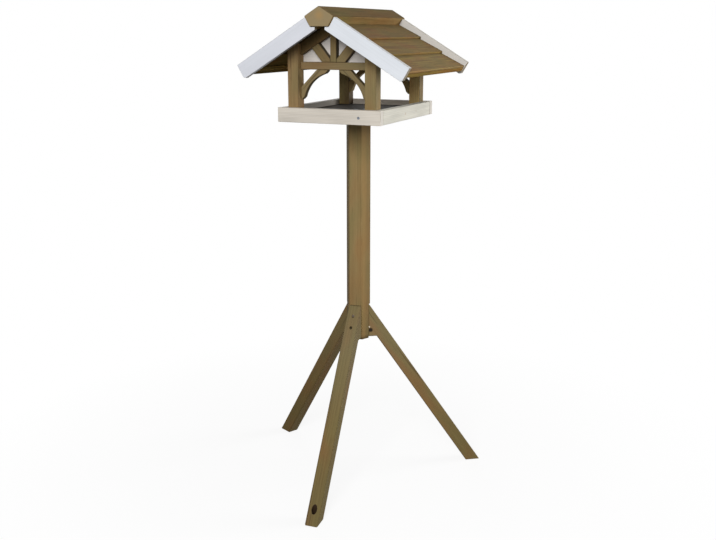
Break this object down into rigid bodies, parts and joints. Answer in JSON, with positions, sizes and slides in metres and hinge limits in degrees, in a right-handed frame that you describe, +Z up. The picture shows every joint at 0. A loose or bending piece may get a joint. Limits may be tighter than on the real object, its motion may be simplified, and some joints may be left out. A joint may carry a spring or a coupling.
{
  "type": "bird table",
  "caption": "Free-standing wooden bird table: a half-timbered feeding house with a lapped board roof over a shallow tray, on a hexagonal post with splayed legs.",
  "frame": {"origin": "on the post's axis at ground level", "axes": "+Z up; the front gable faces -Y, the ridge runs along Y, and +X is to the right seen from the front"},
  "size_m": [0.6958, 0.6482, 1.4],
  "materials": {
    "timber": "brown stained planed softwood",
    "roofing": "brown stained softwood boards",
    "white_paint": "softwood painted cool white",
    "cream_wash": "softwood with a thin cream wash",
    "white_panel": "thin panel painted white",
    "dark_board": "dark stained board",
    "screw_steel": "zinc plated steel"
  },
  "bodies": {
    "root": {"post": "timber", "leg_front": "timber", "leg_screw_front_upper": "screw_steel", "leg_screw_front_lower": "screw_steel", "post_screw_front": "screw_steel", "leg_right": "timber", "leg_screw_right_upper": "screw_steel", "leg_screw_right_lower": "screw_steel", "post_screw_right": "screw_steel", "leg_left": "timber", "leg_screw_left_upper": "screw_steel", "leg_screw_left_lower": "screw_steel", "post_screw_left": "screw_steel", "tray_floor": "dark_board", "tray_rim_front": "cream_wash", "rim_screw_front": "screw_steel", "tray_rim_rear": "cream_wash", "rim_screw_rear": "screw_steel", "tray_rim_left": "cream_wash", "tray_rim_right": "cream_wash", "house_screw_front_left": "screw_steel", "house_screw_front_right": "screw_steel", "house_screw_rear_left": "screw_steel", "house_screw_rear_right": "screw_steel", "corner_post_front_left": "timber", "corner_post_front_right": "timber", "corner_post_rear_left": "timber", "corner_post_rear_right": "timber", "tie_beam_front": "timber", "king_post_front": "timber", "strut_front_left": "timber", "rafter_front_left": "timber", "knee_brace_front_left": "timber", "strut_front_right": "timber", "rafter_front_right": "timber", "knee_brace_front_right": "timber", "gable_panel_front": "white_panel", "tie_beam_rear": "timber", "king_post_rear": "timber", "strut_rear_left": "timber", "rafter_rear_left": "timber", "knee_brace_rear_left": "timber", "strut_rear_right": "timber", "rafter_rear_right": "timber", "knee_brace_rear_right": "timber", "gable_panel_rear": "white_panel", "ridge_beam": "timber", "roof_plank_left_1": "roofing", "roof_plank_left_2": "roofing", "roof_plank_left_3": "roofing", "eaves_strip_left": "roofing", "barge_board_front_left": "white_paint", "barge_board_rear_left": "white_paint", "roof_plank_right_1": "roofing", "roof_plank_right_2": "roofing", "roof_plank_right_3": "roofing", "eaves_strip_right": "roofing", "barge_board_front_right": "white_paint", "barge_board_rear_right": "white_paint"}
  },
  "joints": []
}
